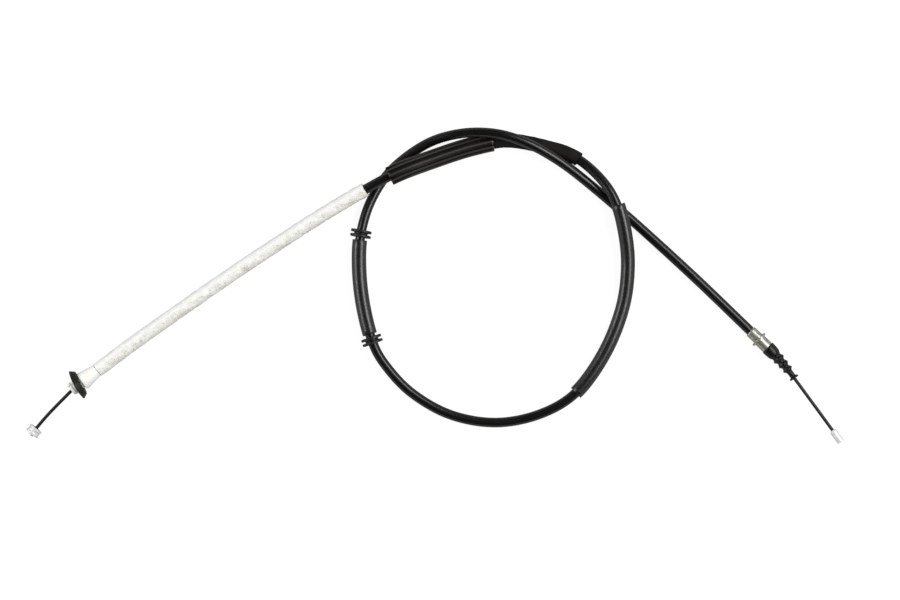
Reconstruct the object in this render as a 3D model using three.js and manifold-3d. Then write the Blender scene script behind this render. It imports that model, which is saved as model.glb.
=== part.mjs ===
// Parking brake cable: a sheathed wire with a nylon socket and seal at the front, a zinc ferrule and
// bellows at the rear, guards and grommets on the way, laid on a flat surface in one overlapping loop.
// Millimetres, +Z up, +X along the longest extent. The origin is the footprint's centre, on the surface.

import * as THREE from 'three';
import { mergeVertices } from 'three/addons/utils/BufferGeometryUtils.js';
import Module from 'manifold-3d';

const wasm = await Module();
wasm.setup();

// Clearances
const FIT = 0.3; // between two nested or butting pieces
const GUARD_FIT = 1.0; // between the jacket and a loose guard tube
const GROMMET_FIT = 0.45; // between the jacket and a grommet's bore

// Wire and the layers around it
const WIRE_DIAMETER = 2.6;
const LINER_WALL = 0.4;
const WINDING_WALL = 0.7;
const JACKET_WALL = 0.7;

// Guards on the jacket
const SHIELD_WALL = 1.6;
const SHIELD_TO_RIBBED = 22.7; // bare sheath between the heat shield and the ribbed guard
const RIB_COUNT = 10;
const RIB_HEIGHT = 1.1;
const RIBBED_WALL = 1.9;
const RIBBED_START = 279;
const RIBBED_LENGTH = 90;
const UPPER_GUARD_LENGTH = 72.6;
const GUARD_WALL = 0.8;
const RIGHT_GUARD_START = 492;
const RIGHT_GUARD_LENGTH = 165.5;

// Grommets, with the left guard between them
const LOWER_GROMMET_AT = 858;
const UPPER_GROMMET_AT = 946.6;
const GROMMET_FLANGE_DIAMETER = 17;
const GROMMET_FLANGE_THICKNESS = 2.2;
const GROMMET_PITCH = 3.8;
const GROMMET_HUB_WALL = 1.2;
const LEFT_GUARD_SPACE = 2.2; // from each end of the guard to its grommet

// Front socket, measured from its nose face towards the casing
const NOSE_TO_ROUTE = 35;
const SOCKET_LENGTH = 26.5;
const SOCKET_BORE_DEPTH = 13.7; // where the casing's end butts
const NOSE_DIAMETER = 10.2;
const NOSE_MOUTH_DIAMETER = 6.6;
const MOUTH_WAIST_DEPTH = 8;
const MOUTH_WAIST_DIAMETER = 4.3;
const BARB_HEIGHT = 0.7;
const BARB_DEPTH = 2.4;
const SLOT_WIDTH = 1.2;
const SLOT_DEPTH = 3.8;
const SHOULDER_DEPTH = 11.4;
const SHOULDER_DIAMETER = 15;
const SHOULDER_THICKNESS = 1.4;
const SOCKET_WALL = 0.9; // around the casing at the socket's thin end

// Front seal, which sits askew on the socket's neck
const SEAL_DIAMETER = 25.4;
const SEAL_BACK_DIAMETER = 20.4;
const SEAL_THICKNESS = 4.3;
const SEAL_DOME = 1.5;
const SEAL_DEPTH = 5.7; // nose face to the middle of the rim plane
const SEAL_OFFSET = 0.5;
const SEAL_TILT = THREE.MathUtils.degToRad(8);

// Rear ferrule, measured from its face on the casing
const FERRULE_MOUTH_DIAMETER = 8.6;
const FERRULE_BARREL_DIAMETER = 9.7;
const FERRULE_SEAT_DIAMETER = 10.4;
const RING_DIAMETER = 13.7;
const RING_AT = 9.1;
const RING_THICKNESS = 1.6;
const FERRULE_SEAT_LENGTH = 8.5; // ring to the boot's mouth
const SPIGOT_DIAMETER = 9.2;
const SPIGOT_LENGTH = 4;
const WINDING_SOCKET = 15.7; // depth of the winding in the ferrule

// Rear boot
const BOOT_LENGTH = 33.6;
const BOOT_WALL = 0.8;
const BOOT_BEND = THREE.MathUtils.degToRad(9.9);
const BOOT_RING_DIAMETER = 7.8;
const BOOT_RING_THICKNESS = 1.6;

// Sliding wire ends and their nipples
const FRONT_WIRE_DEPTH = 27; // nose face to the wire end's inner tip
const REAR_WIRE_DEPTH = 10; // boot end to the wire end's inner tip
const REAR_EXPOSED = 52.5;
const FRONT_NIPPLE_DIAMETER = 11.6;
const FRONT_NIPPLE_LENGTH = 6.1;
const FRONT_NIPPLE_GROOVE = 0.5;
const FRONT_RIM_LENGTH = 1.7;
const STUB_DIAMETER = 4.4;
const STUB_LENGTH = 1.4;
const REAR_NIPPLE_DIAMETER = 6;
const REAR_NIPPLE_LENGTH = 10.2;
const REAR_CONE_LENGTH = 1.6;
const REAR_CONE_TIP_DIAMETER = 3.9;
const NIPPLE_END_WALL = 2.2;
const CHAMFER = 0.4;

// Fineness of the faceted solids
const STATION_STEP = 22; // along the casing
const LAYER_SIDES = 8;
const JACKET_SIDES = 12;
const TURNED_SIDES = 24;

// Radii that follow from the layers
const wireRadius = WIRE_DIAMETER / 2;
const linerBore = wireRadius + FIT;
const linerRadius = linerBore + LINER_WALL;
const windingBore = linerRadius + FIT;
const windingRadius = windingBore + WINDING_WALL;
const jacketBore = windingRadius + FIT;
const jacketRadius = jacketBore + JACKET_WALL;
const guardBore = jacketRadius + GUARD_FIT;
const guardRadius = guardBore + GUARD_WALL;

// Finishes
const FINISH = {
	jacket: { color: 0x1b1c1b, roughness: 0.42, metalness: 0 },
	guard: { color: 0x20201f, roughness: 0.5, metalness: 0 },
	rubber: { color: 0x171717, roughness: 0.6, metalness: 0 },
	foil: { color: 0xd4d4ce, roughness: 0.5, metalness: 0.3 },
	nylon: { color: 0xeeeada, roughness: 0.5, metalness: 0 },
	zinc: { color: 0xc4c2ba, roughness: 0.32, metalness: 0.9 },
	steel: { color: 0x9a9a98, roughness: 0.4, metalness: 0.9 },
	liner: { color: 0xe6e6e0, roughness: 0.5, metalness: 0 },
	wire: { color: 0x161616, roughness: 0.35, metalness: 0 },
};

const cable = new THREE.Group();
const UP = new THREE.Vector3(0, 0, 1);
const LATHE_AXIS = new THREE.Vector3(0, 1, 0);

function add(name, geometry, finish) {
	const mesh = new THREE.Mesh(geometry, new THREE.MeshStandardMaterial(FINISH[finish]));
	mesh.name = name;
	cable.add(mesh);
	return mesh;
}

// A turned piece has its axis along Y; this lays it along a direction from a point.
function place(mesh, origin, direction) {
	mesh.position.copy(origin);
	mesh.quaternion.setFromUnitVectors(LATHE_AXIS, direction);
	return mesh;
}

// Route of the casing's centre, from just behind the front socket to the rear ferrule
const ROUTE = [
	[-269.5, -63.9, 12.7], [-246.2, -46.5, 12.7], [-208.9, -20.0, 9.6], [-171.4, 6.3, 6.9],
	[-133.6, 31.6, 6.9], [-97.6, 54.8, 9.6], [-65.7, 73.9, 13.4], [-34.0, 91.0, 17.4],
	[-2.8, 103.2, 13.0], [29.1, 113.7, 9.3], [57.7, 118.9, 7.8], [86.4, 114.6, 6.1],
	[112.5, 106.1, 6.4], [132.0, 90.7, 10.8], [145.7, 71.5, 14.6], [153.1, 47.2, 13.4],
	[156.6, 16.3, 9.0], [152.5, -18.1, 6.1], [137.9, -55.3, 6.0], [114.6, -87.7, 5.9],
	[84.6, -105.3, 4.4], [48.7, -111.9, 4.1], [12.0, -105.4, 4.1], [-19.6, -87.5, 4.6],
	[-41.4, -64.3, 6.6], [-52.1, -44.1, 8.85], [-59.6, -13.7, 7.5], [-62.5, 16.3, 7.7],
	[-60.9, 43.2, 8.7], [-52.3, 70.7, 5.6], [-35.5, 95.5, 4.1], [-7.7, 115.9, 8.6],
	[20.2, 124.2, 15.8], [48.6, 124.1, 19.4], [74.7, 116.3, 18.3], [102.3, 101.1, 12.9],
	[130.3, 79.9, 5.1], [167.5, 47.8, 4.1], [214.1, 4.9, 6.85], [257.4, -36.7, 6.85],
];
const routePoints = ROUTE.map((point) => new THREE.Vector3(...point));
const spline = new THREE.CatmullRomCurve3(routePoints, false, 'catmullrom', 0.5);
spline.arcLengthDivisions = 1600;
const routeLength = spline.getLength();
const stationCount = Math.round(routeLength / STATION_STEP);
const stationGap = routeLength / stationCount;

// Centre at a distance along the route, on the chord between two stations, or straight on past an end
function centreAt(distance) {
	const inside = THREE.MathUtils.clamp(distance, 0, routeLength);
	const index = Math.min(Math.floor(inside / stationGap), stationCount - 1);
	const near = spline.getPointAt(index / stationCount);
	const far = spline.getPointAt((index + 1) / stationCount);
	const centre = near.lerp(far, inside / stationGap - index);
	return centre.addScaledVector(directionAt(inside), distance - inside);
}

function directionAt(distance) {
	const inside = THREE.MathUtils.clamp(distance, 0, routeLength);
	const index = Math.min(Math.floor(inside / stationGap), stationCount - 1);
	const near = spline.getTangentAt(index / stationCount);
	const far = spline.getTangentAt((index + 1) / stationCount);
	return near.lerp(far, inside / stationGap - index).normalize();
}

// A length of the route that bends only at the stations that all layers share
class Stretch extends THREE.Curve {

	constructor(from, to) {
		super();
		const first = Math.floor(Math.max(from, 0) / stationGap) + 1;
		const last = Math.ceil(Math.min(to, routeLength) / stationGap) - 1;
		const shared = [];
		for (let index = Math.max(first, 0); index <= last; index++) shared.push(index * stationGap);
		if (from < 0) shared.unshift(0);
		if (to > routeLength) shared.push(routeLength);
		const apart = (distance) => distance - from > 1 && to - distance > 1;
		this.stations = [from, ...shared.filter(apart), to];
		this.steps = this.stations.length - 1;
	}

	distanceAt(u) {
		const place = THREE.MathUtils.clamp(u, 0, 1) * this.steps;
		const index = Math.min(Math.floor(place), this.steps - 1);
		return THREE.MathUtils.lerp(this.stations[index], this.stations[index + 1], place - index);
	}

	getPointAt(u) {
		return centreAt(this.distanceAt(u));
	}

	getTangentAt(u) {
		return directionAt(this.distanceAt(u));
	}

}

function polygon(radius, sides) {
	const corner = (_, index) => {
		const angle = (index / sides) * 2 * Math.PI;
		return new THREE.Vector2(radius * Math.cos(angle), radius * Math.sin(angle));
	};
	return Array.from({ length: sides }, corner);
}

// Section of a solid or hollow tube: outline points, and a bore unless its radius is 0
function section(outline, boreRadius = 0, boreSides = outline.length) {
	const shape = new THREE.Shape(outline);
	if (boreRadius > 0) shape.holes.push(new THREE.Path(polygon(boreRadius, boreSides)));
	return shape;
}

function sweep(shape, curve, steps) {
	return new THREE.ExtrudeGeometry(shape, { steps, extrudePath: curve });
}

function layer(name, outline, boreRadius, boreSides, from, to, finish) {
	const stretch = new Stretch(from, to);
	return add(name, sweep(section(outline, boreRadius, boreSides), stretch, stretch.steps), finish);
}

// Casing layers
const casingStart = SOCKET_BORE_DEPTH + FIT - NOSE_TO_ROUTE;
const ferruleFace = routeLength + FIT;
const windingEnd = ferruleFace + WINDING_SOCKET - FIT;
const ferruleLength = RING_AT + RING_THICKNESS + FERRULE_SEAT_LENGTH + SPIGOT_LENGTH;
const linerEnd = ferruleFace + ferruleLength;

layer('outer_jacket', polygon(jacketRadius, JACKET_SIDES), jacketBore, LAYER_SIDES, casingStart, routeLength, 'jacket');
layer('steel_winding', polygon(windingRadius, LAYER_SIDES), windingBore, LAYER_SIDES, casingStart, windingEnd, 'steel');
layer('inner_liner', polygon(linerRadius, LAYER_SIDES), linerBore, LAYER_SIDES, casingStart, linerEnd, 'liner');
layer('core_wire', polygon(wireRadius, LAYER_SIDES), 0, 0, FIT, linerEnd, 'wire');

// Heat shield sleeve, its front end against the socket
const shieldBore = jacketRadius + FIT;
const shieldStart = SOCKET_LENGTH + FIT - NOSE_TO_ROUTE;
const shieldEnd = RIBBED_START - SHIELD_TO_RIBBED;
const shieldOutline = polygon(shieldBore + SHIELD_WALL, JACKET_SIDES);
layer('heat_shield', shieldOutline, shieldBore, JACKET_SIDES, shieldStart, shieldEnd, 'foil');

// Ribbed guard: flat-topped ribs around a tube, one of them on top
function ribbedOutline() {
	const valley = guardBore + RIBBED_WALL;
	const pitch = (2 * Math.PI) / RIB_COUNT;
	const corners = [[-0.5, 0], [-0.3, 0], [-0.2, 1], [0.2, 1], [0.3, 0]];
	const outline = [];
	for (let rib = 0; rib < RIB_COUNT; rib++) {
		for (const [turn, rise] of corners) {
			const angle = Math.PI + (rib + turn) * pitch;
			const radius = valley + rise * RIB_HEIGHT;
			outline.push(new THREE.Vector2(radius * Math.cos(angle), radius * Math.sin(angle)));
		}
	}
	return outline;
}

const ribbedEnd = RIBBED_START + RIBBED_LENGTH;
layer('ribbed_guard', ribbedOutline(), guardBore, JACKET_SIDES, RIBBED_START, ribbedEnd, 'guard');

// Plain guards
const grommetHalf = (GROMMET_PITCH + GROMMET_FLANGE_THICKNESS) / 2;
const leftGuardStart = LOWER_GROMMET_AT + grommetHalf + LEFT_GUARD_SPACE;
const leftGuardEnd = UPPER_GROMMET_AT - grommetHalf - LEFT_GUARD_SPACE;
const upperGuardStart = ribbedEnd + FIT;
const plainGuards = [
	['upper_guard', upperGuardStart, upperGuardStart + UPPER_GUARD_LENGTH],
	['right_guard', RIGHT_GUARD_START, RIGHT_GUARD_START + RIGHT_GUARD_LENGTH],
	['left_guard', leftGuardStart, leftGuardEnd],
];
for (const [name, from, to] of plainGuards) {
	layer(name, polygon(guardRadius, JACKET_SIDES), guardBore, JACKET_SIDES, from, to, 'guard');
}

// Turned pieces have closed profiles of [radius, distance along the axis].
function turn(profile) {
	const loop = [...profile, profile[0]];
	return new THREE.LatheGeometry(loop.map(([radius, along]) => new THREE.Vector2(radius, along)), TURNED_SIDES);
}

// Grommets: two flanges on a hub
function grommet(name, distance) {
	const bore = jacketRadius + GROMMET_FIT;
	const hub = bore + GROMMET_HUB_WALL;
	const flange = GROMMET_FLANGE_DIAMETER / 2;
	const inner = grommetHalf - GROMMET_FLANGE_THICKNESS;
	const profile = [
		[bore, -grommetHalf], [flange, -grommetHalf], [flange, -inner], [hub, -inner],
		[hub, inner], [flange, inner], [flange, grommetHalf], [bore, grommetHalf],
	];
	const near = centreAt(distance - grommetHalf);
	const far = centreAt(distance + grommetHalf);
	place(add(name, turn(profile), 'rubber'), centreAt(distance), far.sub(near).normalize());
}

grommet('lower_grommet', LOWER_GROMMET_AT);
grommet('upper_grommet', UPPER_GROMMET_AT);

// Front socket
const inward = directionAt(0);
const noseFace = centreAt(-NOSE_TO_ROUTE);

function solid(geometry) {
	const bare = geometry.clone();
	bare.deleteAttribute('normal');
	bare.deleteAttribute('uv');
	const merged = mergeVertices(bare, 1e-4);
	const triVerts = new Uint32Array(merged.index.array);
	const vertProperties = new Float32Array(merged.attributes.position.array);
	return new wasm.Manifold(new wasm.Mesh({ numProp: 3, vertProperties, triVerts }));
}

function geometryOf(manifold) {
	const { vertProperties, triVerts } = manifold.getMesh();
	const geometry = new THREE.BufferGeometry();
	geometry.setAttribute('position', new THREE.BufferAttribute(vertProperties, 3));
	geometry.setIndex(new THREE.BufferAttribute(triVerts, 1));
	geometry.computeVertexNormals();
	return geometry;
}

function socketGeometry() {
	const nose = NOSE_DIAMETER / 2;
	const shoulder = SHOULDER_DIAMETER / 2;
	const casingBore = jacketRadius + FIT;
	const thinEnd = casingBore + SOCKET_WALL;
	const body = solid(turn([
		[NOSE_MOUTH_DIAMETER / 2, 0], [nose - CHAMFER, 0], [nose + BARB_HEIGHT, BARB_DEPTH],
		[nose, BARB_DEPTH + CHAMFER], [nose, SHOULDER_DEPTH], [shoulder, SHOULDER_DEPTH],
		[shoulder, SHOULDER_DEPTH + SHOULDER_THICKNESS], [thinEnd, SOCKET_LENGTH],
		[casingBore, SOCKET_LENGTH], [casingBore, SOCKET_BORE_DEPTH], [linerBore, SOCKET_BORE_DEPTH],
		[MOUTH_WAIST_DIAMETER / 2, MOUTH_WAIST_DEPTH],
	]));
	const across = SHOULDER_DIAMETER;
	const slots = [[across, SLOT_WIDTH], [SLOT_WIDTH, across]].map(([width, depth]) => {
		const box = new THREE.BoxGeometry(width, 2 * SLOT_DEPTH, depth);
		return solid(box);
	});
	return geometryOf(slots.reduce((left, slot) => left.subtract(slot), body));
}

place(add('front_socket', socketGeometry(), 'nylon'), noseFace, inward);

// Front seal: a cone-sided disc with a domed face, turned askew, its bore cut true to the socket's neck
function sealGeometry() {
	const rim = SEAL_DIAMETER / 2;
	const face = [[0, -SEAL_DOME], [rim * 0.4, -SEAL_DOME * 0.86], [rim * 0.75, -SEAL_DOME * 0.45], [rim, 0]];
	const profile = [...face, [SEAL_BACK_DIAMETER / 2, SEAL_THICKNESS], [0, SEAL_THICKNESS]];
	const points = profile.map(([radius, along]) => new THREE.Vector2(radius, along));
	const disc = new THREE.LatheGeometry(points, TURNED_SIDES);
	const side = new THREE.Vector3().crossVectors(UP, inward);
	const local = new THREE.Quaternion().setFromUnitVectors(LATHE_AXIS, inward).invert();
	disc.applyQuaternion(new THREE.Quaternion().setFromAxisAngle(UP.clone().applyQuaternion(local), -SEAL_TILT));
	const shift = side.applyQuaternion(local).multiplyScalar(SEAL_OFFSET);
	disc.translate(shift.x, SEAL_DEPTH + shift.y, shift.z);
	const neck = new THREE.CylinderGeometry(NOSE_DIAMETER / 2 + FIT, NOSE_DIAMETER / 2 + FIT, rim, TURNED_SIDES);
	neck.translate(0, SEAL_DEPTH, 0);
	return geometryOf(solid(disc).subtract(solid(neck)));
}

place(add('front_seal', sealGeometry(), 'rubber'), noseFace, inward);

// Rear ferrule
const rearward = directionAt(routeLength);
const ferruleStart = centreAt(ferruleFace);

function ferruleGeometry() {
	const ringEnd = RING_AT + RING_THICKNESS;
	const seatEnd = ringEnd + FERRULE_SEAT_LENGTH;
	const windingSocket = windingRadius + FIT;
	const linerHole = linerRadius + FIT;
	const ring = RING_DIAMETER / 2;
	const seat = FERRULE_SEAT_DIAMETER / 2;
	const spigot = SPIGOT_DIAMETER / 2;
	return turn([
		[windingSocket, 0], [FERRULE_MOUTH_DIAMETER / 2, 0], [FERRULE_BARREL_DIAMETER / 2, 2 * CHAMFER],
		[FERRULE_BARREL_DIAMETER / 2, RING_AT], [ring, RING_AT], [ring, ringEnd], [seat, ringEnd],
		[seat, seatEnd], [spigot, seatEnd], [spigot, ferruleLength - CHAMFER],
		[spigot - CHAMFER, ferruleLength], [linerHole, ferruleLength], [linerHole, WINDING_SOCKET],
		[windingSocket, WINDING_SOCKET],
	]);
}

place(add('rear_ferrule', ferruleGeometry(), 'zinc'), ferruleStart, rearward);

// Rear boot: a bell, three folds and an end ring, bent sideways in one arc that starts at its mouth
const bootStart = ferruleStart.clone().addScaledVector(rearward, ferruleLength - SPIGOT_LENGTH + FIT);
const BOOT_OUTSIDE = [ // [radius, distance from the mouth]
	[5.8, 0], [5.7, 3], [5.4, 7.2], [4.7, 9], [3.9, 10.4], [3.9, 11.2], [5.1, 12.6], [5.1, 13.4],
	[3.4, 15.2], [3.4, 16.4], [4.5, 18.4], [4.5, 19.3], [2.95, 21], [2.95, 22], [4.25, 23.7], [4.25, 24.5],
	[2.5, 26.4],
];

function bootGeometry() {
	const bore = wireRadius + FIT;
	const ringStart = BOOT_LENGTH - BOOT_RING_THICKNESS;
	const ring = BOOT_RING_DIAMETER / 2;
	const neck = bore + BOOT_WALL;
	const outside = [...BOOT_OUTSIDE, [neck, ringStart], [ring, ringStart], [ring, BOOT_LENGTH]];
	const seated = [SPIGOT_DIAMETER / 2 + FIT, SPIGOT_LENGTH + FIT];
	const folds = BOOT_OUTSIDE.filter(([, along]) => along > seated[1] + 1).map(([radius, along]) => [radius - BOOT_WALL, along]);
	const inside = [[seated[0], 0], seated, ...folds, [bore, ringStart - 2 * BOOT_WALL], [bore, BOOT_LENGTH]];
	return turn([...outside, ...inside.reverse()]);
}

// Bends a turned geometry, laid along +Y, in the plane of Y and the given side, by an angle over its length.
function bend(geometry, side, length, angle) {
	const radius = length / angle;
	const positions = geometry.attributes.position;
	const point = new THREE.Vector3();
	for (let index = 0; index < positions.count; index++) {
		point.fromBufferAttribute(positions, index);
		const turned = point.y / radius;
		const out = point.dot(side);
		const rest = point.clone().addScaledVector(side, -out).setY(0);
		const reach = radius - out;
		rest.addScaledVector(side, radius - reach * Math.cos(turned)).setY(reach * Math.sin(turned));
		positions.setXYZ(index, rest.x, rest.y, rest.z);
	}
	return geometry;
}

const bootSide = new THREE.Vector3().crossVectors(rearward, UP).normalize();
const toBoot = new THREE.Quaternion().setFromUnitVectors(LATHE_AXIS, rearward);
const bootSideLocal = bootSide.clone().applyQuaternion(toBoot.clone().invert());
place(add('rear_boot', bend(bootGeometry(), bootSideLocal, BOOT_LENGTH, BOOT_BEND), 'rubber'), bootStart, rearward);

// Boot's end: where its arc ends, and the direction there, which the rear wire end follows
const bootRadius = BOOT_LENGTH / BOOT_BEND;
const bootEnd = bootStart.clone()
	.addScaledVector(rearward, bootRadius * Math.sin(BOOT_BEND))
	.addScaledVector(bootSide, bootRadius * (1 - Math.cos(BOOT_BEND)));
const rearAxis = rearward.clone().applyAxisAngle(UP, -BOOT_BEND);

// Rear wire end, straight, and its nipple
const rearNippleFace = bootEnd.clone().addScaledVector(rearAxis, REAR_EXPOSED);
const rearNippleReach = REAR_CONE_LENGTH + REAR_NIPPLE_LENGTH;
const rearTip = rearNippleFace.clone().addScaledVector(rearAxis, rearNippleReach - NIPPLE_END_WALL - FIT);
const rearInner = bootEnd.clone().addScaledVector(rearAxis, -REAR_WIRE_DEPTH);
const rearLine = new THREE.LineCurve3(rearInner, rearTip);
add('rear_wire', sweep(section(polygon(wireRadius, LAYER_SIDES)), rearLine, 1), 'wire');

function rearNippleGeometry() {
	const body = REAR_NIPPLE_DIAMETER / 2;
	const floor = rearNippleReach - NIPPLE_END_WALL;
	const points = [
		[0, floor], [linerBore, floor], [linerBore, 0], [REAR_CONE_TIP_DIAMETER / 2, 0], [body, REAR_CONE_LENGTH],
		[body, rearNippleReach - CHAMFER], [body - CHAMFER, rearNippleReach], [0, rearNippleReach],
	];
	return new THREE.LatheGeometry(points.map(([radius, along]) => new THREE.Vector2(radius, along)), TURNED_SIDES);
}

place(add('rear_nipple', rearNippleGeometry(), 'zinc'), rearNippleFace, rearAxis);

// Front wire end: straight in the liner, then bent aside from the nose on. [outward, aside] of the nose face
const FRONT_WIRE_ROUTE = [[-13, 0], [-8, 0], [0, 0.75], [7, 1.75], [16, 3.1], [29, 5.3], [41.4, 8.1]];
const outward = inward.clone().negate();
const aside = new THREE.Vector3().crossVectors(inward, UP).normalize();
const onFrontWire = ([out, off]) => noseFace.clone().addScaledVector(outward, out).addScaledVector(aside, off);
const frontPoints = [[-FRONT_WIRE_DEPTH, 0], ...FRONT_WIRE_ROUTE].map(onFrontWire);
const frontNippleFace = frontPoints[frontPoints.length - 1];
const frontAxis = frontNippleFace.clone().sub(frontPoints[frontPoints.length - 2]).normalize();
const frontFloor = FRONT_NIPPLE_LENGTH + STUB_LENGTH - NIPPLE_END_WALL;
frontPoints.push(frontNippleFace.clone().addScaledVector(frontAxis, frontFloor - FIT));
const frontCurve = new THREE.CatmullRomCurve3(frontPoints, false, 'centripetal');
add('front_wire', sweep(section(polygon(wireRadius, LAYER_SIDES)), frontCurve, 2 * frontPoints.length), 'wire');

function frontNippleGeometry() {
	const rim = FRONT_NIPPLE_DIAMETER / 2;
	const groove = rim - FRONT_NIPPLE_GROOVE;
	const far = FRONT_NIPPLE_LENGTH - FRONT_RIM_LENGTH;
	const reach = FRONT_NIPPLE_LENGTH + STUB_LENGTH;
	const stub = STUB_DIAMETER / 2;
	const points = [
		[0, frontFloor], [linerBore, frontFloor], [linerBore, 0], [rim - CHAMFER, 0], [rim, CHAMFER],
		[rim, FRONT_RIM_LENGTH], [groove, FRONT_RIM_LENGTH + FRONT_NIPPLE_GROOVE], [groove, far - FRONT_NIPPLE_GROOVE],
		[rim, far], [rim, FRONT_NIPPLE_LENGTH - CHAMFER], [rim - CHAMFER, FRONT_NIPPLE_LENGTH],
		[stub, FRONT_NIPPLE_LENGTH], [stub, reach], [0, reach],
	];
	return new THREE.LatheGeometry(points.map(([radius, along]) => new THREE.Vector2(radius, along)), TURNED_SIDES);
}

place(add('front_nipple', frontNippleGeometry(), 'zinc'), frontNippleFace, frontAxis);

// The footprint's centre, on the surface, becomes the origin.
cable.updateMatrixWorld(true);
const bounds = new THREE.Box3().setFromObject(cable, true);
const centre = bounds.getCenter(new THREE.Vector3());
cable.position.set(-centre.x, -centre.y, -bounds.min.z);
cable.updateMatrixWorld(true);

export default cable;
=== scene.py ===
import math

import bpy
from mathutils import Matrix, Quaternion, Vector, noise


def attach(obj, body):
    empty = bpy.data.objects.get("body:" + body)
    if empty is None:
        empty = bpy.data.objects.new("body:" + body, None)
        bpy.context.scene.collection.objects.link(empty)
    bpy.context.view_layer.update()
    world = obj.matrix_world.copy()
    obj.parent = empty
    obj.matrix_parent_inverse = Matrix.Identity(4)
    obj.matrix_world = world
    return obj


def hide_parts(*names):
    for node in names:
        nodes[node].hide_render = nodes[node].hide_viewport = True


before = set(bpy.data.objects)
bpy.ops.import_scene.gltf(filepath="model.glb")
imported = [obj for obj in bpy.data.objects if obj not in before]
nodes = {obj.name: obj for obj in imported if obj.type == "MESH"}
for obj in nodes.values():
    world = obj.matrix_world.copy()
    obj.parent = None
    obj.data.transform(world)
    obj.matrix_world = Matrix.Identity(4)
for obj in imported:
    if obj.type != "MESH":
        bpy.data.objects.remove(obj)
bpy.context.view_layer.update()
scene = bpy.context.scene
MM = 0.001
UP = Vector((0, 0, 1))


# Camera: straight above, at the photograph's scale
CAMERA_HEIGHT = 3.0
SENSOR = 36.0
PHOTO_WIDTH = 0.738
PHOTO_CENTRE = (0.01188, -0.01153)

camera_data = bpy.data.cameras.new("camera")
camera_data.sensor_width = SENSOR
camera_data.lens = SENSOR * CAMERA_HEIGHT / PHOTO_WIDTH
camera_data.clip_end = 20
camera = bpy.data.objects.new("camera", camera_data)
camera.location = (*PHOTO_CENTRE, CAMERA_HEIGHT)
scene.collection.objects.link(camera)
scene.camera = camera


# Routes. All lengths below are in millimetres until a mesh is made.
ROUTE = [
    (-269.5, -63.9, 12.7), (-246.2, -46.5, 12.7), (-208.9, -20.0, 9.6), (-171.4, 6.3, 6.9),
    (-133.6, 31.6, 6.9), (-97.6, 54.8, 9.6), (-65.7, 73.9, 13.4), (-34.0, 91.0, 17.4),
    (-2.8, 103.2, 13.0), (29.1, 113.7, 9.3), (57.7, 118.9, 7.8), (86.4, 114.6, 6.1),
    (112.5, 106.1, 6.4), (132.0, 90.7, 10.8), (145.7, 71.5, 14.6), (153.1, 47.2, 13.4),
    (156.6, 16.3, 9.0), (152.5, -18.1, 6.1), (137.9, -55.3, 6.0), (114.6, -87.7, 5.9),
    (84.6, -105.3, 4.4), (48.7, -111.9, 4.1), (12.0, -105.4, 4.1), (-19.6, -87.5, 4.6),
    (-41.4, -64.3, 6.6), (-52.1, -44.1, 8.85), (-59.6, -13.7, 7.5), (-62.5, 16.3, 7.7),
    (-60.9, 43.2, 8.7), (-52.3, 70.7, 5.6), (-35.5, 95.5, 4.1), (-7.7, 115.9, 8.6),
    (20.2, 124.2, 15.8), (48.6, 124.1, 19.4), (74.7, 116.3, 18.3), (102.3, 101.1, 12.9),
    (130.3, 79.9, 5.1), (167.5, 47.8, 4.1), (214.1, 4.9, 6.85), (257.4, -36.7, 6.85),
]


class Path:
    """A smooth line through points, read by distance, straight on past both ends."""

    def __init__(self, points, alpha=0.0, per=40):
        points = [Vector(point) for point in points]
        first = 2 * points[0] - points[1]
        last = 2 * points[-1] - points[-2]
        padded = [first, *points, last]
        self.line = []
        for index in range(1, len(padded) - 2):
            a, b, c, d = padded[index - 1:index + 3]
            before = (b - a).length ** alpha
            along = (c - b).length ** alpha
            after = (d - c).length ** alpha
            start = ((b - a) / before - (c - a) / (before + along) + (c - b) / along) * along
            end = ((c - b) / along - (d - b) / (along + after) + (d - c) / after) * along
            for step in range(per):
                self.line.append(self.hermite(b, c, start, end, step / per))
        self.line.append(points[-1])
        self.marks = [0.0]
        for near, far in zip(self.line, self.line[1:]):
            self.marks.append(self.marks[-1] + (far - near).length)
        self.length = self.marks[-1]

    @staticmethod
    def hermite(b, c, start, end, t):
        return ((2 * t**3 - 3 * t**2 + 1) * b + (t**3 - 2 * t**2 + t) * start
                + (3 * t**2 - 2 * t**3) * c + (t**3 - t**2) * end)

    def at(self, distance):
        if distance <= 0:
            return self.line[0] + (self.line[1] - self.line[0]).normalized() * distance
        if distance >= self.length:
            ahead = (self.line[-1] - self.line[-2]).normalized()
            return self.line[-1] + ahead * (distance - self.length)
        low, high = 0, len(self.marks) - 1
        while high - low > 1:
            middle = (low + high) // 2
            if self.marks[middle] <= distance:
                low = middle
            else:
                high = middle
        share = (distance - self.marks[low]) / (self.marks[high] - self.marks[low])
        return self.line[low].lerp(self.line[high], share)

    def heading(self, distance):
        return (self.at(distance + 0.5) - self.at(distance - 0.5)).normalized()

    def frame(self, distance):
        """Centre, heading, side (to the right of travel) and top at a distance."""
        heading = self.heading(distance)
        side = heading.cross(UP).normalized()
        return self.at(distance), heading, side, side.cross(heading)


route = Path(ROUTE)


# Mesh makers
def mesh_object(name, verts, faces, uvs=None):
    mesh = bpy.data.meshes.new(name)
    mesh.from_pydata([Vector(vert) * MM for vert in verts], [], faces)
    if uvs is not None:
        layer = mesh.uv_layers.new(name="along")
        for polygon in mesh.polygons:
            for loop_index in polygon.loop_indices:
                layer.data[loop_index].uv = uvs[polygon.index][loop_index - polygon.loop_start]
    mesh.shade_smooth()
    piece = bpy.data.objects.new(name, mesh)
    scene.collection.objects.link(piece)
    return piece


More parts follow.
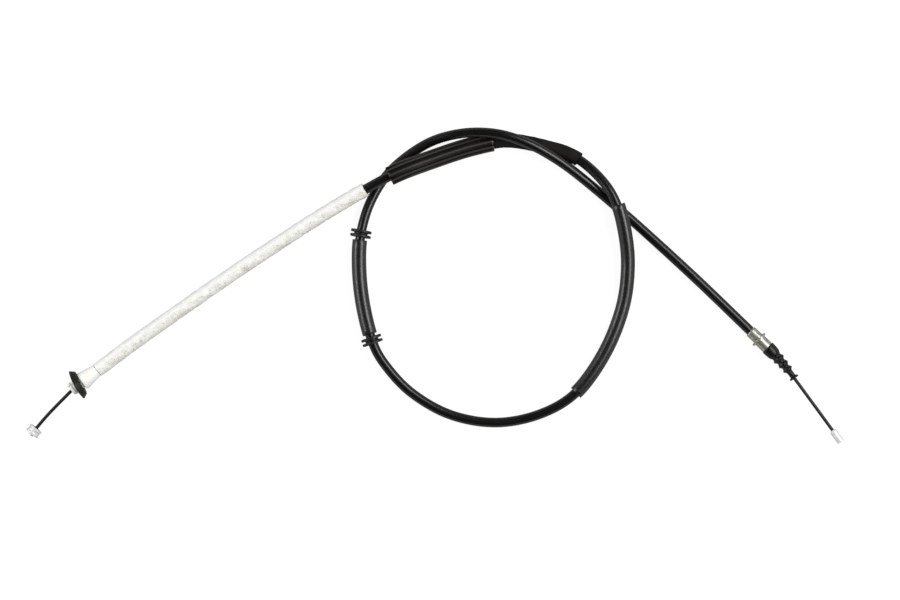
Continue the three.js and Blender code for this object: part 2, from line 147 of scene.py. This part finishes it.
def loft(name, path, rings, sides, radius, closed=False, lean=None):
    """Skin over rings. radius(distance, angle, row) gives the distance from the path's centre,
    and the angle counts from the top towards the right of travel. lean(distance) moves a ring to
    that side. A closed loft joins its last ring to its first, for a tube with a bore; otherwise
    both ends are capped."""
    verts, faces, uvs = [], [], []
    along = 0.0
    tracks = []
    for row, distance in enumerate(rings):
        centre, _, side, top = path.frame(distance)
        if lean is not None:
            centre = centre + side * lean(distance)
        if row:
            along += abs(distance - rings[row - 1])
        tracks.append(along)
        for index in range(sides):
            angle = 2 * math.pi * index / sides
            reach = radius(distance, angle, row)
            verts.append(centre + (top * math.cos(angle) + side * math.sin(angle)) * reach)
    rows = len(rings)
    for row in range(rows if closed else rows - 1):
        after = (row + 1) % rows
        low = tracks[row]
        high = tracks[after] if after else low + 1
        for index in range(sides):
            beside = (index + 1) % sides
            faces.append((row * sides + index, row * sides + beside, after * sides + beside,
                          after * sides + index))
            left, right = index / sides, (index + 1) / sides
            uvs.append(((left, low), (right, low), (right, high), (left, high)))
    if not closed:
        faces.append(tuple(reversed(range(sides))))
        faces.append(tuple(range((rows - 1) * sides, rows * sides)))
        uvs.append([(0, 0)] * sides)
        uvs.append([(0, tracks[-1])] * sides)
    return mesh_object(name, verts, faces, uvs)


def steps(start, end, step):
    count = max(2, round((end - start) / step))
    return [start + (end - start) * index / count for index in range(count + 1)]


def turned(name, profile, sides=72):
    """Closed profile of (radius, distance along Z), turned about Z. A radius of 0 is one point."""
    verts, faces, uvs = [], [], []
    rows = []
    for radius, along in profile:
        if radius < 1e-6:
            rows.append([len(verts)])
            verts.append((0, 0, along))
            continue
        rows.append(list(range(len(verts), len(verts) + sides)))
        for index in range(sides):
            angle = 2 * math.pi * index / sides
            verts.append((radius * math.cos(angle), radius * math.sin(angle), along))
    track = 0.0
    count = len(profile)
    for row in range(count):
        here, after = rows[row], rows[(row + 1) % count]
        (r0, z0), (r1, z1) = profile[row], profile[(row + 1) % count]
        far = track + math.hypot(r1 - r0, z1 - z0)
        if len(here) == 1 and len(after) == 1:
            continue
        for index in range(sides):
            beside = (index + 1) % sides
            left, right = index / sides, (index + 1) / sides
            if len(here) == 1:
                faces.append((here[0], after[beside], after[index]))
                uvs.append(((left, track), (right, far), (left, far)))
            elif len(after) == 1:
                faces.append((here[index], here[beside], after[0]))
                uvs.append(((left, track), (right, track), (left, far)))
            else:
                faces.append((here[index], here[beside], after[beside], after[index]))
                uvs.append(((left, track), (right, track), (right, far), (left, far)))
        track = far
    return mesh_object(name, verts, faces, uvs)


def rounded(profile, radius=0.3, segments=3):
    """The closed profile with its corners rounded, except those on the axis."""
    smooth = []
    count = len(profile)
    for index, corner in enumerate(profile):
        here = Vector((*corner, 0))
        before = Vector((*profile[index - 1], 0))
        after = Vector((*profile[(index + 1) % count], 0))
        if here.x < 1e-6:
            smooth.append(corner)
            continue
        back, ahead = before - here, after - here
        cut = min(radius, 0.42 * back.length, 0.42 * ahead.length)
        start, end = here + back.normalized() * cut, here + ahead.normalized() * cut
        for step in range(segments + 1):
            share = step / segments
            point = start.lerp(here, share).lerp(here.lerp(end, share), share)
            smooth.append((point.x, point.y))
    return smooth


def lay(piece, origin, direction):
    """Lays a turned piece, whose axis is Z, along a direction from a point in millimetres."""
    spin = Vector((0, 0, 1)).rotation_difference(direction)
    piece.data.transform(Matrix.Translation(Vector(origin) * MM) @ spin.to_matrix().to_4x4())
    return piece


def crease(piece, degrees):
    """Keeps edges sharper than this angle crisp."""
    piece.data.set_sharp_from_angle(angle=math.radians(degrees))
    return piece


# Materials. Colors are linear, and bump heights are in metres.
RIB_COUNT = 10  # shared by the ribbed guard's shape and its material


class Nodes:
    """Short names for building one node material."""

    def __init__(self, name, color, roughness, metallic=0.0, specular=0.5):
        self.material = bpy.data.materials.new(name)
        self.material.use_nodes = True
        self.tree = self.material.node_tree
        self.shader = self.tree.nodes["Principled BSDF"]
        self.shader.inputs["Base Color"].default_value = (*color, 1)
        self.shader.inputs["Roughness"].default_value = roughness
        self.shader.inputs["Metallic"].default_value = metallic
        self.shader.inputs["Specular IOR Level"].default_value = specular

    def node(self, kind):
        return self.tree.nodes.new(kind)

    def link(self, source, target):
        self.tree.links.new(source, target)

    def coords(self, kind, scale):
        source = self.node("ShaderNodeTexCoord")
        mapping = self.node("ShaderNodeMapping")
        mapping.inputs["Scale"].default_value = scale
        self.link(source.outputs[kind], mapping.inputs["Vector"])
        return mapping.outputs["Vector"]

    def noise(self, vector, scale, detail=3.0, roughness=0.55):
        made = self.node("ShaderNodeTexNoise")
        made.inputs["Scale"].default_value = scale
        made.inputs["Detail"].default_value = detail
        made.inputs["Roughness"].default_value = roughness
        self.link(vector, made.inputs["Vector"])
        return made.outputs["Fac"]

    def ramp(self, value, stops):
        made = self.node("ShaderNodeValToRGB")
        elements = made.color_ramp.elements
        while len(elements) < len(stops):
            elements.new(0.5)
        for element, (position, color) in zip(elements, stops):
            element.position = position
            element.color = (*color, 1)
        self.link(value, made.inputs["Fac"])
        return made.outputs["Color"]

    def span(self, value, low, high, to_low, to_high):
        made = self.node("ShaderNodeMapRange")
        made.inputs["From Min"].default_value = low
        made.inputs["From Max"].default_value = high
        made.inputs["To Min"].default_value = to_low
        made.inputs["To Max"].default_value = to_high
        self.link(value, made.inputs["Value"])
        return made.outputs["Result"]

    def math(self, operation, first, second=0.0):
        made = self.node("ShaderNodeMath")
        made.operation = operation
        for value, target in zip((first, second), made.inputs):
            if isinstance(value, float):
                target.default_value = value
            else:
                self.link(value, target)
        return made.outputs["Value"]

    def scaled(self, value, factor):
        return self.math("MULTIPLY", value, factor)

    def added(self, first, second):
        return self.math("ADD", first, second)

    def bump(self, height, distance, strength=1.0, normal=None):
        made = self.node("ShaderNodeBump")
        made.inputs["Distance"].default_value = distance
        made.inputs["Strength"].default_value = strength
        self.link(height, made.inputs["Height"])
        if normal is not None:
            self.link(normal, made.inputs["Normal"])
        self.link(made.outputs["Normal"], self.shader.inputs["Normal"])
        return made.outputs["Normal"]

    def color(self, value):
        self.link(value, self.shader.inputs["Base Color"])

    def roughness(self, value):
        self.link(value, self.shader.inputs["Roughness"])


def plastic(name, dark, light, roughness, spread, grain, bump, specular):
    """Black plastic or rubber: a mottled tone, a mottled gloss and a fine grain."""
    made = Nodes(name, dark, roughness, specular=specular)
    around = made.coords("Object", (1, 1, 1))
    broad = made.noise(around, 60, 3)
    made.color(made.ramp(broad, [(0.35, dark), (0.7, light)]))
    gloss = made.noise(around, 400, 4)
    made.roughness(made.span(gloss, 0.3, 0.7, roughness - spread, roughness + spread))
    made.bump(made.noise(around, grain, 3), bump)
    return made


def metal(name, dark, light, roughness, lines, metallic=1.0):
    """Plated metal: cloudy tone and fine turning lines round the axis."""
    made = Nodes(name, light, roughness, metallic=metallic)
    around = made.coords("Object", (1, 1, 1))
    made.color(made.ramp(made.noise(around, 300, 4), [(0.3, dark), (0.68, light)]))
    gloss = made.noise(around, 900, 3)
    made.roughness(made.span(gloss, 0.3, 0.7, roughness - 0.06, roughness + 0.08))
    track = made.coords("UV", (0.01, 1, 1))
    made.bump(made.noise(track, 9, 4, 0.7), lines, 0.5)
    return made


jacket_black = plastic(
    "jacket_black", (0.0025, 0.0023, 0.002), (0.0055, 0.005, 0.0045),
    roughness=0.27, spread=0.05, grain=1500, bump=0.00003, specular=0.55,
)
guard_black = plastic(
    "guard_black", (0.003, 0.0027, 0.0022), (0.007, 0.0065, 0.0052),
    roughness=0.34, spread=0.06, grain=1100, bump=0.00004, specular=0.85,
)
foam_grey = plastic(
    "foam_grey", (0.006, 0.0057, 0.005), (0.014, 0.0133, 0.012),
    roughness=0.72, spread=0.06, grain=2600, bump=0.00018, specular=0.12,
)
rubber_black = plastic(
    "rubber_black", (0.004, 0.0037, 0.003), (0.01, 0.0092, 0.0072),
    roughness=0.46, spread=0.08, grain=1800, bump=0.00006, specular=0.5,
)
boot_black = plastic(
    "boot_black", (0.002, 0.0016, 0.0016), (0.0055, 0.0045, 0.0045),
    roughness=0.36, spread=0.07, grain=1600, bump=0.00004, specular=0.4,
)
seal_rubber = plastic(
    "seal_rubber", (0.003, 0.0024, 0.0008), (0.011, 0.008, 0.003),
    roughness=0.42, spread=0.09, grain=1500, bump=0.00006, specular=0.35,
)
zinc_bright = metal(
    "zinc_bright", (0.36, 0.35, 0.3), (0.6, 0.59, 0.53),
    roughness=0.36, lines=0.00006, metallic=0.85,
)
zinc_pale = metal(
    "zinc_pale", (0.8, 0.8, 0.79), (0.9, 0.9, 0.89),
    roughness=0.46, lines=0.00001, metallic=0.35,
)
steel_flat = metal(
    "steel_flat", (0.35, 0.35, 0.35), (0.55, 0.55, 0.55),
    roughness=0.38, lines=0.00004,
)


def ribbed_material():
    """Black plastic whose rib tops are painted a greyer tone than the grooves: painted sheen on the
    tops and painted shade in the grooves.
    """
    made = plastic(
        "ribbed_black", (0.002, 0.0018, 0.0015), (0.004, 0.0036, 0.003),
        roughness=0.36, spread=0.06, grain=1400, bump=0.00004, specular=0.5,
    )
    mottled = made.shader.inputs["Base Color"].links[0].from_socket
    axes = made.node("ShaderNodeSeparateXYZ")
    made.link(made.coords("UV", (2 * math.pi * RIB_COUNT, 1, 1)), axes.inputs["Vector"])
    # painted light: every rib top is painted greyer as a sheen, and every groove stays darker as
    # shade
    painted_rib_light = made.span(made.math("COSINE", axes.outputs["X"]), 0.0, 0.9, 0.0, 1.0)
    tone = made.node("ShaderNodeMix")
    tone.data_type = "RGBA"
    # the painted sheen colour of the rib tops
    tone.inputs["B"].default_value = (0.03, 0.0285, 0.0235, 1)
    made.link(painted_rib_light, tone.inputs["Factor"])
    made.link(mottled, tone.inputs["A"])
    made.color(tone.outputs["Result"])
    return made


def nylon_material():
    """Cream nylon that lets a little light in."""
    made = Nodes("nylon_cream", (0.97, 0.96, 0.91), 0.42)
    around = made.coords("Object", (1, 1, 1))
    tones = [(0.3, (0.955, 0.945, 0.88)), (0.7, (0.985, 0.98, 0.935))]
    made.color(made.ramp(made.noise(around, 90, 3), tones))
    made.bump(made.noise(around, 900, 3), 0.00005)
    made.shader.inputs["Subsurface Weight"].default_value = 0.15
    made.shader.inputs["Subsurface Scale"].default_value = 0.002
    return made


def liner_material():
    made = Nodes("liner_white", (0.8, 0.8, 0.78), 0.5)
    around = made.coords("Object", (1, 1, 1))
    tones = [(0.3, (0.74, 0.74, 0.72)), (0.7, (0.84, 0.84, 0.82))]
    made.color(made.ramp(made.noise(around, 120, 3), tones))
    made.bump(made.noise(around, 1200, 3), 0.00003)
    return made


def wire_material():
    """Coated strand: dark, with the lay of the strands showing through as slanted lines."""
    made = Nodes("wire_coated", (0.005, 0.005, 0.005), 0.4)
    track = made.coords("UV", (6, 0.9, 1))
    wave = made.node("ShaderNodeTexWave")
    wave.bands_direction = "DIAGONAL"
    wave.inputs["Scale"].default_value = 0.5
    made.link(track, wave.inputs["Vector"])
    tones = [(0.1, (0.002, 0.002, 0.002)), (0.8, (0.006, 0.006, 0.006))]
    made.color(made.ramp(wave.outputs["Fac"], tones))
    made.bump(wave.outputs["Fac"], 0.0001, 0.6)
    return made


def foil_material():
    """Crinkled pale heat sleeve: creamy white, with its left side painted smooth near-white as
    painted light, and specked elsewhere, where the specks and grey clouds show as its painted shade
    side.
    """
    made = Nodes("foil_crinkled", (0.9, 0.9, 0.87), 0.5, metallic=0.1)
    around = made.coords("Object", (1, 1, 1))
    fine = made.noise(around, 900, 5, 0.65)
    broad = made.noise(around, 170, 4, 0.6)
    speck = made.node("ShaderNodeMix")
    speck.data_type = "RGBA"
    speck.blend_type = "MULTIPLY"
    speck.inputs["Factor"].default_value = 1.0
    specks = [(0.34, (0.45, 0.45, 0.44)), (0.45, (0.93, 0.93, 0.92)), (0.54, (1, 1, 1))]
    clouds = [(0.34, (0.76, 0.75, 0.69)), (0.48, (0.93, 0.92, 0.86)), (0.6, (0.985, 0.98, 0.945))]
    made.link(made.ramp(fine, specks), speck.inputs["A"])
    made.link(made.ramp(broad, clouds), speck.inputs["B"])
    axes = made.node("ShaderNodeSeparateXYZ")
    made.link(made.coords("UV", (2 * math.pi, 1, 1)), axes.inputs["Vector"])
    # painted light and shade: the left side of travel is painted plain near-white as the lit side,
    # the rest keeps the specks and clouds as the shaded side
    painted_shade_side = made.span(made.math("SINE", axes.outputs["X"]), -0.35, 0.2, 0.22, 1.0)
    face = made.node("ShaderNodeMix")
    face.data_type = "RGBA"
    face.inputs["A"].default_value = (0.97, 0.97, 0.955, 1)
    made.link(painted_shade_side, face.inputs["Factor"])
    made.link(speck.outputs["Result"], face.inputs["B"])
    made.color(face.outputs["Result"])
    made.roughness(made.span(fine, 0.35, 0.65, 0.62, 0.36))
    normal = made.bump(broad, 0.0006, 0.7)
    made.bump(fine, 0.00025, 0.8, normal)
    return made


ribbed_black = ribbed_material()
nylon_cream = nylon_material()
liner_white = liner_material()
wire_coated = wire_material()
foil_crinkled = foil_material()


def finish_piece(piece, material, body, node):
    """Gives a piece its material and body, in place of the solid of a node."""
    piece.data.materials.append(material.material)
    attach(piece, body)
    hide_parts(node)
    return piece


# Casing: the sheath, one smooth tube with a bore
NOSE_TO_ROUTE = 35  # from the socket's nose to the start of the route
JACKET_RADIUS = 4.0
JACKET_BORE = 3.3
SOCKET_BORE_DEPTH = 13.7
FIT = 0.3  # gap between pieces that seat on each other
casing_start = SOCKET_BORE_DEPTH + FIT - NOSE_TO_ROUTE
casing_end = route.length


def tube(name, start, end, outer, inner, step=3.0, sides=48, wavy=None, lean=None, lip=0.25):
    """A tube along the route, with a bore and softened end edges. wavy(distance, angle) adds to
    the outer radius."""
    between = steps(start + lip, end - lip, step)
    rings = [start, *between, end, end, *reversed(between), start]
    last_outer = len(between) + 1

    def radius(distance, angle, row):
        if row > last_outer:
            return inner
        extra = wavy(distance, angle) if wavy else 0.0
        return outer + extra - (lip if row in (0, last_outer) else 0.0)

    return crease(loft(name, route, rings, sides, radius, closed=True, lean=lean), 50)


jacket = tube("sheath", casing_start, casing_end, JACKET_RADIUS, JACKET_BORE, sides=36)
finish_piece(jacket, jacket_black, "casing", "outer_jacket")


# Guards on the casing
GUARD_BORE = 5.0
GUARD_RADIUS = 5.8
RIBBED_START = 279
RIBBED_END = 369
UPPER_END = 441.9
LEFT_START = 863.2
LEFT_END = 941.4
LEFT_RADIUS = 6.0
RIGHT_START = 492
RIGHT_END = 657.5
RIGHT_LEAN = 0.9
RIGHT_CENTRED = 15  # length at its end where the guard is centred
RIGHT_SETTLING = 120  # length over which it comes to lean


def right_lean(distance):
    """The right guard hangs to the loop's outer side at its start and is centred at its end."""
    share = min(1.0, max(0.0, (RIGHT_END - RIGHT_CENTRED - distance) / RIGHT_SETTLING))
    return -RIGHT_LEAN * share


right_guard = tube("right_tube", RIGHT_START, RIGHT_END, GUARD_RADIUS, GUARD_BORE, lean=right_lean)
finish_piece(right_guard, guard_black, "casing", "right_guard")
left_guard = tube("left_tube", LEFT_START, LEFT_END, LEFT_RADIUS, GUARD_BORE)
finish_piece(left_guard, guard_black, "casing", "left_guard")


FOAM_RADIUS = 6.0


def foam_wave(distance, angle):
    """A slight unevenness of the soft foam."""
    place = Vector((math.cos(angle), math.sin(angle), distance * 0.12))
    return 0.18 * noise.noise(place * 1.6) - 0.1


upper_guard = tube("upper_tube", RIBBED_END + FIT, UPPER_END, FOAM_RADIUS, GUARD_BORE, step=1.5,
                   wavy=foam_wave)
finish_piece(upper_guard, foam_grey, "casing", "upper_guard")

RIB_HEIGHT = 1.6
RIB_VALLEY = 6.4
RIB_FOOT = 0.3  # from a rib's middle to its foot, as a share of the ribs' spacing
RIB_SHOULDER = 0.12  # share of the spacing over which a side rises


def rib_wave(distance, angle):
    """Flat-topped ribs with round shoulders, one on top."""
    phase = (angle * RIB_COUNT / (2 * math.pi)) % 1.0
    from_rib = min(phase, 1 - phase)
    rise = min(1.0, max(0.0, (RIB_FOOT - from_rib) / RIB_SHOULDER))
    return RIB_HEIGHT * rise * rise * (3 - 2 * rise)


ribbed_guard = tube("ribbed_tube", RIBBED_START, RIBBED_END, RIB_VALLEY, GUARD_BORE, step=2.0,
                    sides=240, wavy=rib_wave)
finish_piece(ribbed_guard, ribbed_black, "casing", "ribbed_guard")

# Heat shield: a loose crinkled sleeve
SHIELD_RADIUS = 5.85
SHIELD_BORE = 4.3
SOCKET_LENGTH = 26.5
SHIELD_TO_RIBBED = 22.7
SHIELD_START = SOCKET_LENGTH + FIT - NOSE_TO_ROUTE
SHIELD_END = RIBBED_START - SHIELD_TO_RIBBED


def crinkle(distance, angle):
    """Broad dents, sharp folds and a fine unevenness, held within the sleeve's room."""
    ring = Vector((math.cos(angle), math.sin(angle), 0))
    place = ring * 1.1 + Vector((0, 0, distance * 0.16))
    broad = noise.noise(place) * 0.34
    folds = abs(noise.noise(ring * 2.4 + Vector((7, 3, distance * 0.42)))) * 0.5
    fine = noise.noise(ring * 5 + Vector((1, 9, distance * 1.3))) * 0.13
    return max(-0.6, min(0.25, broad - folds + fine + 0.05))


shield = tube("heat_sleeve", SHIELD_START, SHIELD_END, SHIELD_RADIUS, SHIELD_BORE, step=0.9,
              sides=80, wavy=crinkle, lip=0.35)
finish_piece(shield, foil_crinkled, "casing", "heat_shield")


# Grommets
LOWER_GROMMET = 858
UPPER_GROMMET = 946.6


def grommet(name, distance, node):
    """A rubber spool on the casing: two flanges on a hub."""
    half, thick, flange, hub, bore = 3.0, 2.2, 8.5, 5.65, 4.45
    profile = [
        (bore, -half), (flange, -half), (flange, thick - half), (hub, thick - half),
        (hub, half - thick), (flange, half - thick), (flange, half), (bore, half),
    ]
    piece = crease(turned(name, rounded(profile, 0.45)), 60)
    lay(piece, route.at(distance), route.heading(distance))
    return finish_piece(piece, rubber_black, "casing", node)


grommet("lower_spool", LOWER_GROMMET, "lower_grommet")
grommet("upper_spool", UPPER_GROMMET, "upper_grommet")


# Front socket, seal, wire end and nipple
inward = route.heading(0)
outward = -inward
aside = inward.cross(UP).normalized()
nose_face = route.at(-NOSE_TO_ROUTE)

SLOT_WIDTH = 1.2
SLOT_DEPTH = 3.8
SLOT_REACH = 16  # right across the nose
BOX_FACES = [(0, 1, 3, 2), (4, 6, 7, 5), (0, 4, 5, 1), (2, 3, 7, 6), (0, 2, 6, 4), (1, 5, 7, 3)]
socket_profile = [
    (3.3, 0), (4.7, 0), (5.8, 2.4), (5.1, 2.8), (5.1, 11.4), (7.5, 11.4), (7.5, 12.8),
    (5.2, SOCKET_LENGTH), (4.3, SOCKET_LENGTH), (4.3, SOCKET_BORE_DEPTH), (1.6, SOCKET_BORE_DEPTH),
    (2.15, 8),
]
socket = crease(turned("socket", rounded(socket_profile, 0.3)), 60)
for width, depth in ((SLOT_REACH, SLOT_WIDTH), (SLOT_WIDTH, SLOT_REACH)):
    cutter = bpy.data.meshes.new("cutter")
    corners = [
        Vector((x * width / 2, y * depth / 2, z * SLOT_DEPTH)) * MM
        for x in (-1, 1) for y in (-1, 1) for z in (-1, 1)
    ]
    cutter.from_pydata(corners, [], BOX_FACES)
    cutter_object = bpy.data.objects.new("cutter", cutter)
    scene.collection.objects.link(cutter_object)
    cut = socket.modifiers.new("slot", "BOOLEAN")
    cut.operation = "DIFFERENCE"
    cut.object = cutter_object
    cut.solver = "EXACT"
    bpy.context.view_layer.objects.active = socket
    bpy.ops.object.modifier_apply(modifier=cut.name)
    bpy.data.objects.remove(cutter_object)
crease(socket, 40)
lay(socket, nose_face, inward)
finish_piece(socket, nylon_cream, "casing", "front_socket")

SEAL_TILT = math.radians(8)
SEAL_SEAT = 5.7  # from the nose to the seal's wide rim
SEAL_ASIDE = 0.5
seal_profile = [
    (5.5, -1.35), (7.2, -1.15), (9.4, -0.72), (11.2, -0.3), (12.3, -0.02), (12.7, 0.25),
    (12.65, 0.75), (10.2, 4.3), (5.5, 4.3),
]
seal = crease(turned("seal", rounded(seal_profile, 0.35), 96), 60)
seal_axis = inward.copy()
seal_axis.rotate(Quaternion(UP, -SEAL_TILT))
lay(seal, nose_face + inward * SEAL_SEAT - aside * SEAL_ASIDE, seal_axis)
finish_piece(seal, seal_rubber, "casing", "front_seal")

WIRE_RADIUS = 1.4
WIRE_IN_FRONT_NIPPLE = 5.0
# The front wire, as (distance out from the nose, distance to the right of inward travel)
front_route = [(-27, 0), (-13, 0), (-8, 0), (0, 0.75), (7, 1.75), (16, 3.1), (29, 5.3), (41.4, 8.1)]
front_points = [nose_face + outward * out + aside * off for out, off in front_route]
front_axis = (front_points[-1] - front_points[-2]).normalized()
front_face = front_points[-1]
front_points.append(front_face + front_axis * WIRE_IN_FRONT_NIPPLE)
front_path = Path(front_points, alpha=0.5)
front_wire = loft("front_strand", front_path, steps(0, front_path.length, 1.0), 24,
                  lambda distance, angle, row: WIRE_RADIUS)
finish_piece(front_wire, wire_coated, "front_end", "front_wire")

nipple_profile = [
    (0, 5.3), (1.6, 5.3), (1.6, 0), (5.8, 0), (5.8, 1.7), (5.3, 2.2), (5.3, 3.9), (5.8, 4.4),
    (5.8, 6.1), (2.2, 6.1), (2.2, 7.5), (0, 7.5),
]
front_nipple = crease(turned("front_drum", rounded(nipple_profile, 0.4)), 60)
lay(front_nipple, front_face, front_axis)
finish_piece(front_nipple, zinc_pale, "front_end", "front_nipple")

# Rear ferrule, boot, wire end and nipple
rearward = route.heading(route.length + 1)
ferrule_face = route.at(route.length + FIT)
ferrule_profile = [
    (3.3, 0), (4.3, 0), (4.85, 0.8), (4.85, 9.1), (6.85, 9.1), (6.85, 10.7), (5.2, 10.7),
    (5.2, 19.2), (4.6, 19.2), (4.6, 22.8), (4.2, 23.2), (2.3, 23.2), (2.3, 15.7), (3.3, 15.7),
]
ferrule = crease(turned("ferrule", rounded(ferrule_profile, 0.25)), 60)
lay(ferrule, ferrule_face, rearward)
finish_piece(ferrule, zinc_bright, "casing", "rear_ferrule")

BOOT_SEAT = 19.5  # from the ferrule's face to the boot's bell
BOOT_LENGTH = 33.6
BOOT_STEPS = 12
BOOT_BEND = math.radians(9.9)
boot_start = ferrule_face + rearward * BOOT_SEAT
boot_side = rearward.cross(UP).normalized()
boot_radius = BOOT_LENGTH / BOOT_BEND
boot_arc = [
    boot_start + rearward * (boot_radius * math.sin(BOOT_BEND * step / BOOT_STEPS))
    + boot_side * (boot_radius * (1 - math.cos(BOOT_BEND * step / BOOT_STEPS)))
    for step in range(BOOT_STEPS + 1)
]
boot_path = Path(boot_arc)
# The boot's skin, as (radius, distance along it), down the outside and back up the inside
BOOT_OUTSIDE = [
    (5.5, 0), (5.8, 0.35), (5.78, 1.5), (5.72, 3), (5.62, 5), (5.4, 7.0), (5.1, 8.1),
    (4.6, 9.1), (4.1, 10.0), (3.9, 10.6), (4.0, 11.3), (4.5, 12.0), (5.0, 12.6), (5.1, 13.0),
    (5.0, 13.5), (4.4, 14.3), (3.7, 15.0), (3.4, 15.8), (3.5, 16.6), (3.95, 17.5), (4.4, 18.3),
    (4.5, 18.8), (4.4, 19.4), (3.8, 20.1), (3.2, 20.8), (2.95, 21.5), (3.05, 22.2), (3.6, 23.0),
    (4.1, 23.6), (4.25, 24.1), (4.1, 24.7), (3.4, 25.4), (2.7, 26.0), (2.45, 26.8), (2.4, 29.0),
    (2.42, 31.4), (2.8, 31.9), (3.6, 32.05), (3.9, 32.3), (3.9, 33.25), (3.6, BOOT_LENGTH),
]
BOOT_INSIDE = [
    (1.6, BOOT_LENGTH), (1.6, 29.5), (1.75, 26.4), (3.3, 24.1), (2.15, 21.5), (3.6, 18.8),
    (2.6, 15.8), (4.2, 13.0), (3.1, 10.6), (4.5, 7.2), (4.9, 4.3), (4.9, 0),
]
boot_rings = BOOT_OUTSIDE + BOOT_INSIDE
boot = crease(loft("bellows", boot_path, [along for _, along in boot_rings], 64,
                   lambda distance, angle, row: boot_rings[row][0], closed=True), 60)
finish_piece(boot, boot_black, "casing", "rear_boot")

WIRE_IN_BOOT = 10
REAR_WIRE_SHOWN = 52.5
WIRE_IN_REAR_NIPPLE = 9.3
boot_end = boot_arc[-1]
rear_axis = rearward.copy()
rear_axis.rotate(Quaternion(UP, -BOOT_BEND))
rear_face = boot_end + rear_axis * REAR_WIRE_SHOWN
rear_path = Path([boot_end - rear_axis * WIRE_IN_BOOT, rear_face + rear_axis * WIRE_IN_REAR_NIPPLE])
rear_wire = loft("rear_strand", rear_path, steps(0, rear_path.length, 1.0), 24,
                 lambda distance, angle, row: WIRE_RADIUS)
finish_piece(rear_wire, wire_coated, "rear_end", "rear_wire")

rear_profile = [(0, 9.6), (1.6, 9.6), (1.6, 0), (1.95, 0), (3.0, 1.6), (3.0, 11.8), (0, 11.8)]
rear_nipple = crease(turned("rear_drum", rounded(rear_profile, 0.35)), 60)
lay(rear_nipple, rear_face, rear_axis)
finish_piece(rear_nipple, zinc_pale, "rear_end", "rear_nipple")

# Hidden layers keep their solids
hidden = (("steel_winding", steel_flat), ("inner_liner", liner_white), ("core_wire", wire_coated))
for node, material in hidden:
    nodes[node].data.materials.clear()
    nodes[node].data.materials.append(material.material)


# Floor and light
FLOOR_SEEN = 0.89
FLOOR_MIRRORED = 0.22
FLOOR_REACH = 3000
FLOOR_TOP = -0.2


def floor_material():
    """A floor that keeps shadows. Its white is added for the camera and for mirrors only."""
    made = Nodes("floor_white", (0.18, 0.18, 0.185), 0.9, specular=0.0)
    path = made.node("ShaderNodeLightPath")
    seen = made.scaled(path.outputs["Is Camera Ray"], FLOOR_SEEN)
    mirrored = made.scaled(path.outputs["Is Glossy Ray"], FLOOR_MIRRORED)
    passed = made.scaled(path.outputs["Is Transmission Ray"], FLOOR_SEEN)
    lift = made.added(made.added(seen, mirrored), passed)
    made.shader.inputs["Emission Color"].default_value = (1, 1, 1, 1)
    made.link(lift, made.shader.inputs["Emission Strength"])
    return made


floor_corners = [
    (x * FLOOR_REACH, y * FLOOR_REACH, FLOOR_TOP) for x, y in ((-1, -1), (1, -1), (1, 1), (-1, 1))
]
floor = mesh_object("floor", floor_corners, [(0, 1, 2, 3)])
floor.data.materials.append(floor_material().material)

# World: an even light, seen and mirrored as a white horizon under a dim ceiling
WORLD_LEVEL = 0.5
CEILING_LEVEL = 0.04
HORIZON_UP_TO = 0.08  # height on a sphere of radius 1 where the white horizon begins to dim
CEILING_FROM = 0.35
world = bpy.data.worlds.new("world")
scene.world = world
world.use_nodes = True
sky = world.node_tree
background = sky.nodes["Background"]
background.inputs["Color"].default_value = (1, 1, 1, 1)
direction = sky.nodes.new("ShaderNodeTexCoord")
direction_axes = sky.nodes.new("ShaderNodeSeparateXYZ")
sky.links.new(direction.outputs["Generated"], direction_axes.inputs["Vector"])
backdrop = sky.nodes.new("ShaderNodeMapRange")
backdrop.interpolation_type = "SMOOTHSTEP"
backdrop.inputs["From Min"].default_value = HORIZON_UP_TO
backdrop.inputs["From Max"].default_value = CEILING_FROM
backdrop.inputs["To Min"].default_value = 1.0
backdrop.inputs["To Max"].default_value = CEILING_LEVEL
sky.links.new(direction_axes.outputs["Z"], backdrop.inputs["Value"])
light_path = sky.nodes.new("ShaderNodeLightPath")
shown = light_path.outputs["Is Camera Ray"]
for ray in ("Is Glossy Ray", "Is Transmission Ray"):
    either = sky.nodes.new("ShaderNodeMath")
    either.operation = "MAXIMUM"
    sky.links.new(shown, either.inputs[0])
    sky.links.new(light_path.outputs[ray], either.inputs[1])
    shown = either.outputs["Value"]
level = sky.nodes.new("ShaderNodeMapRange")
level.inputs["To Min"].default_value = WORLD_LEVEL
sky.links.new(backdrop.outputs["Result"], level.inputs["To Max"])
sky.links.new(shown, level.inputs["Value"])
sky.links.new(level.outputs["Result"], background.inputs["Strength"])


def softbox(name, tilt, azimuth, distance, width, height, power):
    """A rectangular lamp, tilted in degrees from straight above towards an azimuth, which counts
    from the photograph's right."""
    data = bpy.data.lights.new(name, "AREA")
    data.shape = "RECTANGLE"
    data.size = width
    data.size_y = height
    data.energy = power
    lamp = bpy.data.objects.new(name, data)
    lean, turn = math.radians(tilt), math.radians(azimuth)
    out = math.sin(lean)
    place = Vector((out * math.cos(turn), out * math.sin(turn), math.cos(lean)))
    lamp.location = place * distance
    lamp.rotation_euler = place.to_track_quat("Z", "Y").to_euler()
    scene.collection.objects.link(lamp)


softbox("key", tilt=40, azimuth=16, distance=2.0, width=1.9, height=0.8, power=28)
softbox("left", tilt=56, azimuth=172, distance=2.0, width=1.2, height=0.65, power=13)

scene.view_settings.view_transform = "Standard"
